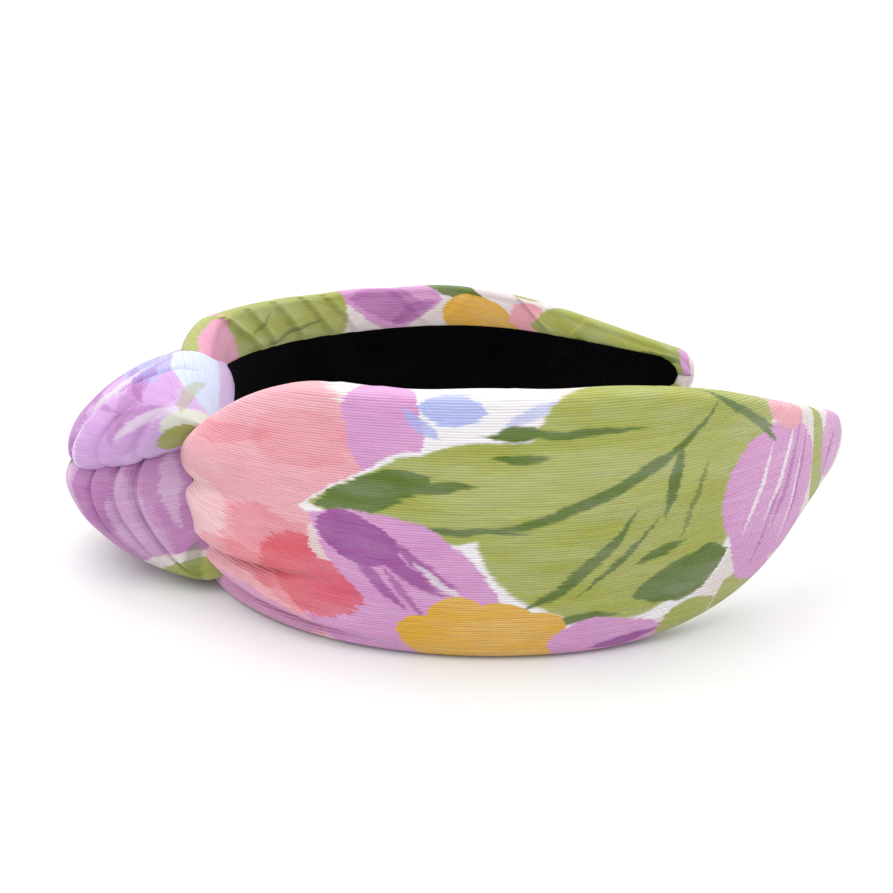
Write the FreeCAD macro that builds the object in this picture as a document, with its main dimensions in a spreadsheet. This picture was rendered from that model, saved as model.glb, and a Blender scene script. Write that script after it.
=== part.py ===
import FreeCAD, Part
import os
from Sketcher import Constraint

# Knotted headband: a sprung plastic hoop with foam, covered by cloth, lined with velvet, and
# tied in a knot at its crown. It lies on its lower edge.
#
# Frame: millimetres, +Z up, the band's two long edges level. The knot is at -X and the tips
# point to +X. The right arm is on the -Y side, the left arm on the +Y side.
#
# In plan the hoop's inner face runs straight across the crown, then along a crown bend, a
# rounder side bend and a straight run to the tip. Every layer is a ribbon between two
# distances outward from that face. Seen along Y, the band keeps one height from the crown
# to taper_start, bends into a straight taper and ends in a round tip.

SIZES = {
    "mid_height": 24.5,          # half of the band's height, and the height of its middle
    "crown_x": -54.65,           # the hoop's inner face at the middle of the crown
    "crown_flat": 6.0,           # half of the straight stretch across the crown
    "crown_bend": 61.0,
    "crown_turn": 61.0,
    "side_bend": 72.5,
    "side_turn": 68.0,
    "tip_run": 33.0,
    "tip_round": 8.0,
    "taper_start": 9.0,
    "taper_bend": 120.0,
    "taper_end": 47.0,
    "cloth": 0.6,
    "velvet": 0.8,
    "hoop_thick": 1.6,
    "foam_thick": 2.0,
    "crown_foam_thick": 1.5,     # the knot squeezes the foam under it
    "crown_waist": 7.5,          # half of the hoop's height under the knot
    "hoop_shoulder": 31.5,       # the round shoulder where the hoop widens past the knot
    "cloth_shoulder": 34.0,
    "shoulder_end": -25.0,       # where the shoulders end, in X
    "velvet_shoulder": 21.8,
    "velvet_shoulder_end": -38.0,
    "velvet_share": 0.454,       # the share of the band's height between the two hems
    "velvet_lap": 1.5,           # how far the lining laps over each hem
    "velvet_round": 4.1,         # the round end of the opening between the hems
    "fold_length": 8.0,          # from that opening's end to the tip
    "flex_turn": 15.0,           # where the arms flex, as a turn along the crown bend
    "flex_gap": 1.2,
    "knot_middle_x": -63.85,
    "knot_reach": 22.0,          # the lobes' radius along X
    "knot_spread": 26.0,         # the lobes' radius along Y, before their sides are cut flat
    "knot_half_width": 21.3,
    "knot_tall": 18.0,           # the lobes' radius along Z
    "knot_lift": 5.5,            # how far the lobes are centred from the band's middle
    "knot_seam_drop": 2.0,       # how far below the middle the two lobes meet
    "knot_inside_x": -50.5,      # the flat back of the wraps, on the head's side
    "sleeve_turn": 6.0,          # where the cloth leaves the knot, as a turn along the bend
    "sleeve_rise": 9.0,          # the cloth is drawn in this far from the middle on one edge
    "ease": 0.1,                 # clearance round a piece inside the knot
    "tack_radius": 0.35,
    "tack_length": 5.0,
    "tack_spread": 8.0,          # the thread tacks' distance from the band's middle
}

OUTPUT_FOLDER = "parts"

doc = FreeCAD.newDocument("knotted_headband")
sheet = doc.addObject("Spreadsheet::Sheet", "sizes")
for row, (alias, value) in enumerate(SIZES.items(), start=1):
    sheet.set(f"A{row}", alias)
    sheet.set(f"B{row}", str(value))
    sheet.setAlias(f"B{row}", alias)
doc.recompute()

# The plan curve: the two bends' centres, and the angles about them where each bend ends.
FULL_HEIGHT = "(2 * sizes.mid_height)"
BEND_1 = ("(sizes.crown_x + sizes.crown_bend)", "(-sizes.crown_flat)")
TURN_1 = "(180 + sizes.crown_turn)"
BEND_2 = (f"({BEND_1[0]} + (sizes.crown_bend - sizes.side_bend) * cos({TURN_1}))",
          f"({BEND_1[1]} + (sizes.crown_bend - sizes.side_bend) * sin({TURN_1}))")
TURN_2 = f"({TURN_1} + sizes.side_turn)"
TAPER = "asin((sizes.taper_end - sizes.taper_start) / sizes.taper_bend)"

# The arms start and the crown stops half a gap from the flex line, as turns along the bend.
HALF_GAP = "(sizes.flex_gap / 2 / sizes.crown_bend * 180 / pi)"
ARM_START = f"(sizes.flex_turn + {HALF_GAP})"
CROWN_STOP = f"(sizes.flex_turn - {HALF_GAP})"

# Distances outward from the hoop's inner face.
HOOP_INSIDE = "0"
HEM_INSIDE = "(-sizes.cloth)"
LINING_INSIDE = "(-sizes.cloth - sizes.velvet)"
FOLD_INSIDE = "(-2 * sizes.cloth)"
HOOP_OUTSIDE = "sizes.hoop_thick"
FOAM_OUTSIDE = "(sizes.hoop_thick + sizes.foam_thick)"
CLOTH_OUTSIDE = "(sizes.hoop_thick + sizes.foam_thick + sizes.cloth)"
CROWN_FOAM_OUTSIDE = "(sizes.hoop_thick + sizes.crown_foam_thick)"

# Cutters run past what they cut: by a little at an open end, or by more than the object.
PAST_TURN = 3.0
PAST_END = 2.0
PAST_ALL = 100.0
PAST_TIP = 95.0
GUESS_HIGH = 20.0                # where a sketch's level lines start, before it is solved
GUESS_FRONT = 1.0                # half of its front line's length, before it is solved

# The heights of the layers: a share of the band's height, less an inset.
WHOLE = ("1", "0")
INNER = ("1", "sizes.cloth")
OPENING = ("sizes.velvet_share", "0")
LINING = ("sizes.velvet_share", "(-sizes.velvet_lap)")
LINING_MIDDLE = ("sizes.velvet_share", "sizes.ease")
OPENING_RUN = "(sizes.tip_run - sizes.fold_length - sizes.velvet_round)"
TIP_RUN = "(sizes.tip_run - sizes.tip_round)"
INNER_ROUND = "(sizes.tip_round - sizes.cloth)"
PAST_ROOT = f"({ARM_START} - {PAST_TURN})"


def make(kind, name, links=None, **bound):
    """Add an object and bind its sizes to expressions; x, y and z are its place."""
    piece = doc.addObject(kind, name)
    for link, target in (links or {}).items():
        setattr(piece, link, target)
    for key, expression in bound.items():
        path = f"Placement.Base.{key}" if key in "xyz" else key
        piece.setExpression(path, str(expression))
    return piece


def turned(piece, angle):
    """Turn a piece about its own upright line."""
    piece.Placement = FreeCAD.Placement(FreeCAD.Vector(),
                                        FreeCAD.Rotation(FreeCAD.Vector(0, 0, 1), 1))
    piece.setExpression("Placement.Rotation.Angle", angle)
    return piece


def fuse(name, *pieces):
    return make("Part::MultiFuse", name, {"Shapes": list(pieces), "Refine": True})


def common(name, *pieces):
    return make("Part::MultiCommon", name, {"Shapes": list(pieces), "Refine": True})


def cut(name, base, *tools):
    """The base less each tool in turn."""
    for count, tool in enumerate(tools, start=1):
        step = name if count == len(tools) else f"{name}_less_{count}"
        base = make("Part::Cut", step, {"Base": base, "Tool": tool, "Refine": True})
    return base


def mirrored(name, source):
    """The same piece across the plane Y = 0."""
    return make("Part::Mirroring", name,
                {"Source": source, "Normal": FreeCAD.Vector(0, 1, 0)})


def bend(name, inside, outside, centre, radius, start, stop):
    """A bent wall of the band's full height, between two angles about a bend's centre."""
    disc = turned(make("Part::Cylinder", f"{name}_disc", Radius=f"{radius} + {outside}",
                       Height=FULL_HEIGHT, Angle=f"{stop} - {start}"), start)
    core = make("Part::Cylinder", f"{name}_core", Radius=f"{radius} + {inside}",
                Height=f"{FULL_HEIGHT} + {2 * PAST_END}", z=-PAST_END)
    for piece in (disc, core):
        piece.setExpression("Placement.Base.x", centre[0])
        piece.setExpression("Placement.Base.y", centre[1])
    return cut(name, disc, core)


def tip_disc(name, inside, outside, run, radius, sweep=360):
    """A disc across the arm, centred a run past the side bend: its round end, or half of it."""
    disc = make("Part::Cylinder", name, Radius=radius, Height=f"{outside} - {inside}",
                Angle=sweep)
    start_x = f"({BEND_2[0]} + (sizes.side_bend + {inside}) * cos({TURN_2}))"
    start_y = f"({BEND_2[1]} + (sizes.side_bend + {inside}) * sin({TURN_2}))"
    disc.setExpression("Placement", (
        "create(<<placement>>; create(<<vector>>; "
        f"{start_x} - {run} * sin({TURN_2}); {start_y} + {run} * cos({TURN_2}); "
        "sizes.mid_height); "
        f"create(<<rotation>>; create(<<vector>>; 0; 0; 1); {TURN_2})"
        " * create(<<rotation>>; create(<<vector>>; 0; 1; 0); 90))"))
    return disc


def arm_ribbon(name, inside, outside, start, run, radius):
    """A layer of the right arm, from a turn along the crown bend to its round end."""
    first = bend(f"{name}_first", inside, outside, BEND_1, "sizes.crown_bend",
                 f"(180 + {start})", TURN_1)
    second = bend(f"{name}_second", inside, outside, BEND_2, "sizes.side_bend",
                  TURN_1, TURN_2)
    flat = turned(make("Part::Box", f"{name}_flat", Length=f"{outside} - {inside}",
                       Width=f"{run} + {radius} * sin({TAPER}) * sin({TURN_2} + 180)",
                       Height=FULL_HEIGHT), TURN_2)
    for axis, centre, wave in zip("xy", BEND_2, ("cos", "sin")):
        flat.setExpression(f"Placement.Base.{axis}",
                           f"{centre} + (sizes.side_bend + {inside}) * {wave}({TURN_2})")
    end = tip_disc(f"{name}_end", inside, outside, run, radius)
    return fuse(name, first, second, flat, end)


def crown_side(name, inside, outside, start, stop):
    """A layer of the crown's right side, between two turns along the bend."""
    return bend(name, inside, outside, BEND_1, "sizes.crown_bend",
                f"(180 + {start})", f"(180 + {stop})")


def crown_ribbon(name, inside, outside, stop):
    """A layer of the crown, as far as a turn along the bend on each side."""
    right = crown_side(f"{name}_right", inside, outside, "0", stop)
    flat = make("Part::Box", f"{name}_flat", Length=f"{outside} - {inside}",
                Width="2 * sizes.crown_flat", Height=FULL_HEIGHT,
                x=f"sizes.crown_x - {outside}", y="-sizes.crown_flat")
    return fuse(name, right, flat, mirrored(f"{name}_left", right))


def slab(name, half_height):
    """Everything within a distance above and below the band's middle."""
    return make("Part::Box", name, Length=2 * PAST_ALL, Width=2 * PAST_ALL,
                Height=f"2 * {half_height}", x=-PAST_ALL, y=-PAST_ALL,
                z=f"sizes.mid_height - {half_height}")


def share_height(share):
    """Half of the height that a share of the band takes, less an inset, as an expression."""
    return f"(sizes.mid_height * {share[0]} - {share[1]})"


def side_outline(name, share):
    """The band's outline seen along Y, at a share of its height less an inset."""
    sketch = doc.addObject("Sketcher::SketchObject", f"{name}_sketch")
    sketch.Placement = FreeCAD.Placement(FreeCAD.Vector(0, 0, SIZES["mid_height"]),
                                         FreeCAD.Rotation(FreeCAD.Vector(1, 0, 0), 90))
    sketch.setExpression("Placement.Base.z", "sizes.mid_height")
    start, end = SIZES["taper_start"], SIZES["taper_end"]
    high, radius = GUESS_HIGH, SIZES["taper_bend"]
    low = high - radius + (radius ** 2 - (end - start) ** 2) ** 0.5
    point = FreeCAD.Vector

    def line(x1, y1, x2, y2):
        return sketch.addGeometry(Part.LineSegment(point(x1, y1), point(x2, y2)))

    def arc(side):
        middle = start + (end - start) / 2
        rise = high - radius + (radius ** 2 - (middle - start) ** 2) ** 0.5
        return sketch.addGeometry(Part.Arc(point(start, side * high),
                                           point(middle, side * rise),
                                           point(end, side * low)))

    top = line(-PAST_ALL, high, start, high)
    top_bend = arc(1)
    top_taper = line(end, low, PAST_TIP, GUESS_FRONT)
    front = line(PAST_TIP, GUESS_FRONT, PAST_TIP, -GUESS_FRONT)
    bottom_taper = line(PAST_TIP, -GUESS_FRONT, end, -low)
    bottom_bend = arc(-1)
    bottom = line(start, -high, -PAST_ALL, -high)
    back = line(-PAST_ALL, -high, -PAST_ALL, high)

    first, last = 1, 2
    for kind, *where in (("Horizontal", top), ("Horizontal", bottom),
                         ("Vertical", front), ("Vertical", back),
                         ("Tangent", top, last, top_bend, last),
                         ("Tangent", top_bend, first, top_taper, first),
                         ("Coincident", top_taper, last, front, first),
                         ("Coincident", front, last, bottom_taper, first),
                         ("Tangent", bottom_taper, last, bottom_bend, last),
                         ("Tangent", bottom_bend, first, bottom, first),
                         ("Coincident", bottom, last, back, first),
                         ("Coincident", back, last, top, first),
                         ("Equal", top_bend, bottom_bend)):
        sketch.addConstraint(Constraint(kind, *where))

    origin = (-1, 1)
    half = share_height(share)
    for kind, where, guess, expression in (
            ("DistanceX", (top, first, *origin), PAST_ALL, PAST_ALL),
            ("DistanceX", (*origin, top, last), start, "sizes.taper_start"),
            ("DistanceX", (*origin, top_bend, first), end, "sizes.taper_end"),
            ("DistanceX", (*origin, top_taper, last), PAST_TIP, PAST_TIP),
            ("DistanceX", (*origin, bottom_bend, last), end, "sizes.taper_end"),
            ("DistanceX", (*origin, bottom, first), start, "sizes.taper_start"),
            ("DistanceY", (*origin, top, first), high, half),
            ("DistanceY", (bottom, last, *origin), high, half),
            ("Radius", (top_bend,), radius, f"sizes.taper_bend / {share[0]}")):
        index = sketch.addConstraint(Constraint(kind, *where, guess))
        sketch.setExpression(f"Constraints[{index}]", str(expression))
    return make("Part::Extrusion", name,
                {"Base": sketch, "DirMode": "Custom", "Dir": point(0, 1, 0),
                 "LengthFwd": 2 * PAST_ALL, "Symmetric": True, "Solid": True})


def shoulders(name, piece, share, radius, corner_x, sides=("upper", "lower")):
    """Round off a layer's corners beside the knot, where it is drawn in."""
    tools = []
    for side in sides:
        sign = "+" if side == "upper" else "-"
        centre_z = f"(sizes.mid_height {sign} ({share_height(share)} - {radius}))"
        start_z = centre_z if side == "upper" else f"{centre_z} - {PAST_ALL}"
        corner = make("Part::Box", f"{name}_{side}_corner", Length=PAST_ALL,
                      Width=2 * PAST_ALL, Height=PAST_ALL, x=f"{corner_x} - {PAST_ALL}",
                      y=-PAST_ALL, z=start_z)
        disc = make("Part::Cylinder", f"{name}_{side}_disc", Radius=radius,
                    Height=2 * PAST_ALL, x=corner_x, y=PAST_ALL, z=centre_z)
        along_y = FreeCAD.Rotation(FreeCAD.Vector(1, 0, 0), 90)
        disc.Placement = FreeCAD.Placement(disc.Placement.Base, along_y)
        tools.append(cut(f"{name}_{side}_tool", corner, disc))
    return cut(name, piece, *tools)


def arm_layer(name, inside, outside, share, run, radius, start=ARM_START):
    """A ribbon of the right arm, trimmed to the band's side outline."""
    ribbon = arm_ribbon(f"{name}_ribbon", inside, outside, start, run, radius)
    return common(f"{name}_level", ribbon, side_outline(f"{name}_outline", share))


def hoop_layer(name, inside, outside, start=ARM_START):
    """A hidden layer of the right arm, which fills the cover."""
    layer = arm_layer(name, inside, outside, INNER, TIP_RUN, INNER_ROUND, start)
    return shoulders(name, layer, INNER, "sizes.hoop_shoulder", "sizes.shoulder_end")


def velvet_layer(name, inside, outside, share, radius, start=ARM_START):
    """A layer within the opening between the right arm's hems, or lapping over them."""
    layer = arm_layer(name, inside, outside, share, OPENING_RUN, radius, start)
    return shoulders(name, layer, share, "sizes.velvet_shoulder",
                     "sizes.velvet_shoulder_end")


def right_arm():
    """The right arm's pieces, from the flex line to the tip."""
    hoop = hoop_layer("right_hoop", HOOP_INSIDE, HOOP_OUTSIDE)
    foam = hoop_layer("right_foam", HOOP_OUTSIDE, FOAM_OUTSIDE)
    lining = fuse("right_lining",
                  velvet_layer("lining_lap", LINING_INSIDE, HEM_INSIDE, LINING,
                               "(sizes.velvet_round + sizes.velvet_lap)"),
                  velvet_layer("lining_inlay", HEM_INSIDE, HOOP_INSIDE, LINING_MIDDLE,
                               "(sizes.velvet_round - sizes.ease)"))

    skin = shoulders("cover_skin",
                     arm_layer("cover_skin", HEM_INSIDE, CLOTH_OUTSIDE, WHOLE, TIP_RUN,
                               "sizes.tip_round"),
                     WHOLE, "sizes.cloth_shoulder", "sizes.shoulder_end", ["upper"])
    cavity = hoop_layer("cover_cavity", HOOP_INSIDE, FOAM_OUTSIDE, PAST_ROOT)
    opening = velvet_layer("cover_opening", LINING_INSIDE, HOOP_OUTSIDE, OPENING,
                           "sizes.velvet_round", PAST_ROOT)
    cover = cut("right_cover", skin, cavity, opening)

    fold_disc = tip_disc("fold_disc", FOLD_INSIDE, HEM_INSIDE, TIP_RUN, INNER_ROUND, 180)
    fold_notch = tip_disc("fold_notch", LINING_INSIDE, HOOP_INSIDE, OPENING_RUN,
                          "(sizes.velvet_round + sizes.velvet_lap + 2 * sizes.ease)")
    fold_trim = side_outline("fold_outline", INNER)
    fold = cut("right_tip_fold", common("fold_half", fold_disc, fold_trim), fold_notch)
    return hoop, foam, cover, lining, fold


def crown_layer(name, inside, outside, stop, half_height):
    """A layer of the crown, within a distance above and below the band's middle."""
    return common(name, crown_ribbon(f"{name}_ribbon", inside, outside, stop),
                  slab(f"{name}_slab", half_height))


def crown():
    """The crown's pieces: the middle of the hoop and the two wraps tied round it."""
    waist = "sizes.crown_waist"
    inlay = f"({waist} - sizes.velvet_lap)"
    hoop = crown_layer("hoop_crown", HOOP_INSIDE, HOOP_OUTSIDE, CROWN_STOP, waist)
    foam = crown_layer("foam_crown", HOOP_OUTSIDE, CROWN_FOAM_OUTSIDE, CROWN_STOP, waist)
    lining = fuse("lining_crown",
                  crown_layer("crown_lap", LINING_INSIDE, HEM_INSIDE, CROWN_STOP, waist),
                  crown_layer("crown_inlay", HEM_INSIDE, HOOP_INSIDE, CROWN_STOP, inlay))

    past_stop = f"({CROWN_STOP} + {PAST_TURN})"
    channels = [
        crown_layer("hoop_channel", "(-sizes.ease)", f"({CROWN_FOAM_OUTSIDE} + sizes.ease)",
                    past_stop, f"({waist} + sizes.ease)"),
        crown_layer("lap_channel", f"({LINING_INSIDE} - sizes.ease)", HEM_INSIDE,
                    past_stop, f"({waist} + sizes.ease)"),
        crown_layer("inlay_channel", HEM_INSIDE, HOOP_INSIDE, past_stop,
                    f"({inlay} + sizes.ease)")]

    right_sleeve = sleeve("right_sleeve", HEM_INSIDE, CLOTH_OUTSIDE, CROWN_STOP, "0")
    right_room = sleeve("right_room", LINING_INSIDE, CLOTH_OUTSIDE, past_stop,
                        "sizes.ease")
    over = wrap("knot_over_wrap", 1, turned_over("left_sleeve", right_sleeve), right_room,
                channels)
    under = wrap("knot_under_wrap", -1, right_sleeve, turned_over("left_room", right_room),
                 channels)

    tacks = []
    for side, sign in (("upper", "+"), ("lower", "-")):
        tack = make("Part::Cylinder", f"{side}_tack", Radius="sizes.tack_radius",
                    Height="sizes.tack_length", x="sizes.knot_inside_x",
                    y="sizes.tack_length / 2",
                    z=f"sizes.mid_height {sign} sizes.tack_spread")
        along_y = FreeCAD.Rotation(FreeCAD.Vector(1, 0, 0), 90)
        tack.Placement = FreeCAD.Placement(tack.Placement.Base, along_y)
        tacks.append(tack)
    return hoop, foam, lining, over, under, make("Part::Compound", "knot_tacks",
                                                 {"Links": tacks})


def sleeve(name, inside, outside, stop, ease):
    """The cloth between the knot and the right arm, drawn in on its upper edge."""
    wall = crown_side(f"{name}_wall", f"({inside} - {ease})", f"({outside} + {ease})",
                      f"(sizes.sleeve_turn - {ease})", stop)
    trim = make("Part::Box", f"{name}_trim", Length=2 * PAST_ALL, Width=2 * PAST_ALL,
                Height=f"sizes.mid_height + sizes.sleeve_rise + 2 * {ease}",
                x=-PAST_ALL, y=-PAST_ALL, z=f"-{ease}")
    return common(name, wall, trim)


def turned_over(name, source):
    """The same piece turned half way round the band's long middle line."""
    across = mirrored(f"{name}_across", source)
    over = make("Part::Mirroring", name, {"Source": across,
                                          "Normal": FreeCAD.Vector(0, 0, 1)})
    over.setExpression("Base.z", "sizes.mid_height")
    return over


def wrap(name, side, own_sleeve, other_room, channels):
    """One of the knot's two wraps: a lobe above or below the seam, and its arm's sleeve."""
    sign = "+" if side > 0 else "-"
    lobe = make("Part::Ellipsoid", f"{name}_lobe", Radius1="sizes.knot_tall",
                Radius2="sizes.knot_reach", Radius3="sizes.knot_spread",
                x="sizes.knot_middle_x", z=f"sizes.mid_height {sign} sizes.knot_lift")
    seam = f"sizes.mid_height - sizes.knot_seam_drop {sign} sizes.ease"
    trim = make("Part::Box", f"{name}_trim", Length=PAST_ALL,
                Width="2 * sizes.knot_half_width", Height=PAST_ALL,
                x=f"sizes.knot_inside_x - {PAST_ALL}", y="-sizes.knot_half_width",
                z=seam if side > 0 else f"{seam} - {PAST_ALL}")
    lobe = cut(f"{name}_clear", common(f"{name}_half", lobe, trim), other_room)
    return cut(name, fuse(f"{name}_whole", lobe, own_sleeve), *channels)


def checked(pieces):
    """Stop if any object failed, or if a sub-part's shape is empty or not valid."""
    failed = [item.Name for item in doc.Objects
              if "Invalid" in item.State or "Error" in item.State]
    if failed:
        raise RuntimeError(f"failed objects: {', '.join(failed)}")
    for piece in pieces:
        if piece.Shape.isNull() or not piece.Shape.isValid() or not piece.Shape.Solids:
            raise RuntimeError(f"{piece.Label} has no valid solid")


right = right_arm()
left = [turned_over(piece.Name.replace("right_", "left_"), piece) for piece in right]
sub_parts = [*crown(), *right, *left]
doc.recompute()
checked(sub_parts)

os.makedirs(OUTPUT_FOLDER, exist_ok=True)
for piece in sub_parts:
    piece.Label = piece.Name
    piece.Shape.exportStep(f"{OUTPUT_FOLDER}/{piece.Label}.step")
    box = piece.Shape.BoundBox
    print(f"{piece.Label:16} {len(piece.Shape.Solids)} solid, {piece.Shape.Volume:8.0f} mm3, "
          f"x {box.XMin:6.1f} {box.XMax:6.1f}  y {box.YMin:6.1f} {box.YMax:6.1f}  "
          f"z {box.ZMin:5.1f} {box.ZMax:5.1f}")
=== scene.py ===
import math

import bpy
import numpy as np
from mathutils import Matrix, Vector


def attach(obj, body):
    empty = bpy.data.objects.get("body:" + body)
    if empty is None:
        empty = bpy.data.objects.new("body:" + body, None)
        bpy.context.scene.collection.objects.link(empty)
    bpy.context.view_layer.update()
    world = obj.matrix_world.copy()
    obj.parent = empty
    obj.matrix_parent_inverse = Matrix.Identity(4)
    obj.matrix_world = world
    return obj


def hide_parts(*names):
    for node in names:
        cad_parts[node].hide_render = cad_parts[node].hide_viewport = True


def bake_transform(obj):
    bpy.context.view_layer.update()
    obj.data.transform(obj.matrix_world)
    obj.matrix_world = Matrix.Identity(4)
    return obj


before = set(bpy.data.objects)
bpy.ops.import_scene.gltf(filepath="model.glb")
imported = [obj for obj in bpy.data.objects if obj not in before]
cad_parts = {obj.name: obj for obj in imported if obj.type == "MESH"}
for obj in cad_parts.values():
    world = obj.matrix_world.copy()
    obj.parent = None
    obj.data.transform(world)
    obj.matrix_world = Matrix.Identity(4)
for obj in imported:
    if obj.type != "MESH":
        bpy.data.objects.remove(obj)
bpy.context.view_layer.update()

# A knotted headband: cloth arms, a knot of two wraps and a velvet lining, laid over the packed
# hoop and foam. Shapes are worked out in millimetres and made in metres.
MM = 0.001

# The band's plan curve and side outline, as the frame has them.
MID = 24.5
CROWN_X, CROWN_FLAT = -54.65, 6.0
CROWN_BEND, CROWN_TURN = 61.0, math.radians(61)
SIDE_BEND, SIDE_TURN = 72.5, math.radians(68)
TIP_RUN, TIP_ROUND = 33.0, 8.0
TAPER_START, TAPER_BEND, TAPER_END = 9.0, 120.0, 47.0
ARM_LENGTH = CROWN_FLAT + CROWN_BEND * CROWN_TURN + SIDE_BEND * SIDE_TURN + TIP_RUN
TIP_CENTRE = ARM_LENGTH - TIP_ROUND
OPENING_SHARE, OPENING_END, OPENING_ROUND = 0.454, ARM_LENGTH - 5.5, 3.2

# Distances outward from the hoop's inner face.
VELVET_FACE, HEM_FACE, CLOTH_FACE = -1.5, -0.7, 4.3

# How far each arm's edges are drawn in beside the knot, and where that ends: the pulled edge
# leaves the knot from the middle of the band, and the tucked edge goes under a wrap.
PULLED_UNTIL, PULLED_RUN, PULLED_DEPTH = 60, 36, 15.5
TUCKED_UNTIL, TUCKED_RUN, TUCKED_DEPTH = 27, 22, 11

# The arms' cloth: where it starts, how it closes, and how its edges are squared off.
CLOTH_START, CLOTH_END = 3.0, ARM_LENGTH - 0.001
CLOTH_ROWS, HEM_POINTS, EDGE_POINTS, FACE_POINTS = 250, 16, 14, 74
TIP_CROWDING = 1.35              # how closely the rows crowd together towards the tip
TIP_SHUT = 1.4                   # the run over which the two faces meet at the tip
EDGE_SQUARE = 0.6                # below 1, the rounded edge is squarer than a circle
HEM_PUFF = 0.9

# The velvet: how far it laps over the hems, and its round end.
VELVET_ROWS, VELVET_POINTS = 230, 30
VELVET_START, VELVET_END = 2.0, OPENING_END + 1.2
VELVET_LAP, VELVET_ROUND, VELVET_END_HALF = 1.4, 5.2, 5.4

# The knot's wraps: points along and across each, and the width of their UV map.
WRAP_ALONG, WRAP_ACROSS, WRAP_SPREAD = 170, 230, 30


def smooth(value, low, high):
    """0 below low, 1 above high, and smooth between."""
    share = np.clip((value - low) / (high - low), 0, 1)
    return share * share * (3 - 2 * share)


def ripple(s, t, seed, pitch):
    """A gentle uneven wave, from -1 to 1, with no random draw."""
    total = 0
    for step in range(1, 5):
        lean = math.sin(seed * 12.9 + step * 4.1)
        phase = seed * 7.7 + step * 2.3
        total = total + np.sin((s * (0.6 + 0.23 * step) + t * lean) * 6.283 / pitch + phase)
    return total / 4


def plan(s):
    """The place of the hoop's inner face on the right arm, and its outward direction."""
    s = np.asarray(s, float)
    turn_1 = math.pi + CROWN_TURN
    turn_2 = turn_1 + SIDE_TURN
    x_1, y_1 = CROWN_X + CROWN_BEND, -CROWN_FLAT
    x_2 = x_1 + (CROWN_BEND - SIDE_BEND) * math.cos(turn_1)
    y_2 = y_1 + (CROWN_BEND - SIDE_BEND) * math.sin(turn_1)
    end_1 = CROWN_FLAT + CROWN_BEND * CROWN_TURN
    end_2 = end_1 + SIDE_BEND * SIDE_TURN
    on_1 = np.clip(s - CROWN_FLAT, 0, None) / CROWN_BEND + math.pi
    on_2 = np.clip(s - end_1, 0, end_2 - end_1) / SIDE_BEND + turn_1
    angle = np.where(s < end_1, on_1, on_2)
    x = np.where(s < end_1, x_1 + CROWN_BEND * np.cos(on_1), x_2 + SIDE_BEND * np.cos(on_2))
    y = np.where(s < end_1, y_1 + CROWN_BEND * np.sin(on_1), y_2 + SIDE_BEND * np.sin(on_2))
    past = np.clip(s - end_2, 0, None)
    short = np.clip(CROWN_FLAT - s, 0, None)
    x = x - past * math.sin(turn_2)
    y = y + past * math.cos(turn_2) + short
    return x, y, np.cos(angle), np.sin(angle)


def half_width(s):
    """Half of the band's height at a place along it, with the tip's round end."""
    x = plan(s)[0]
    bend = MID - TAPER_BEND + np.sqrt(np.clip(
        TAPER_BEND ** 2 - np.clip(x - TAPER_START, 0, TAPER_END - TAPER_START) ** 2, 1, None))
    fall = (TAPER_END - TAPER_START) / math.sqrt(
        TAPER_BEND ** 2 - (TAPER_END - TAPER_START) ** 2)
    width = bend - fall * np.clip(x - TAPER_END, 0, None)
    past = np.clip(np.asarray(s, float) - TIP_CENTRE, 0, TIP_ROUND)
    return np.minimum(width, np.where(past > 0, np.sqrt(TIP_ROUND ** 2 - past ** 2) + 0.15,
                                      width))


def drawn_in(s):
    """Half of the height on the edge that the knot draws in: the right arm's upper edge."""
    pulled = np.clip((PULLED_UNTIL - np.asarray(s, float)) / PULLED_RUN, 0, 1.3)
    return np.minimum(half_width(s), MID - PULLED_DEPTH * pulled ** 1.6)


def tucked(s):
    """Half of the height on the other edge, which narrows only where it goes under the knot."""
    under = np.clip((TUCKED_UNTIL - np.asarray(s, float)) / TUCKED_RUN, 0, 1)
    return half_width(s) - TUCKED_DEPTH * under ** 1.5


def opening(s, pulled):
    """Half of the height left open between the hems, which closes before the tip."""
    s = np.asarray(s, float)
    width = half_width(s) * OPENING_SHARE
    if pulled:
        width = np.minimum(width, drawn_in(s) - 5.5)
    past = np.clip(s - (OPENING_END - OPENING_ROUND), 0, OPENING_ROUND)
    end = np.where(past > 0, np.sqrt(OPENING_ROUND ** 2 - past ** 2), width)
    return np.where(s >= OPENING_END, 0.02, np.clip(np.minimum(width, end), 0.02, None))


def placed(s, out, up, left):
    """Points in the frame, in metres. The left arm is the right one turned half way over."""
    x, y, out_x, out_y = plan(s)
    side = -1 if left else 1
    points = np.stack([x + out * out_x, side * (y + out * out_y), MID + side * up], axis=-1)
    return points * MM


def smooth_mesh(name, points, uv, loop_round=False, flip=False):
    """A mesh from a grid of points, with the cloth's own millimetres as its UV map."""
    rows, columns = points.shape[:2]
    mesh = bpy.data.meshes.new(name)
    index = np.arange(rows * columns).reshape(rows, columns)
    across = np.roll(index, -1, axis=1) if loop_round else index[:, 1:]
    here = index if loop_round else index[:, :-1]
    faces = np.stack([here[:-1], here[1:], across[1:], across[:-1]], axis=-1).reshape(-1, 4)
    if flip:
        faces = faces[:, ::-1]
    mesh.from_pydata(points.reshape(-1, 3).tolist(), [], faces.tolist())
    layer = mesh.uv_layers.new(name="Cloth")
    corners = np.zeros(len(mesh.loops), np.int32)
    mesh.loops.foreach_get("vertex_index", corners)
    layer.data.foreach_set("uv", uv.reshape(-1, 2)[corners].astype(np.float32).ravel())
    mesh.polygons.foreach_set("use_smooth", np.ones(len(faces), bool))
    mesh.update()
    piece = bpy.data.objects.new(name, mesh)
    bpy.context.scene.collection.objects.link(piece)
    return piece


def subdivided(piece):
    modifier = piece.modifiers.new("Subdivision", "SUBSURF")
    modifier.levels = modifier.render_levels = 1
    return piece


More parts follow.
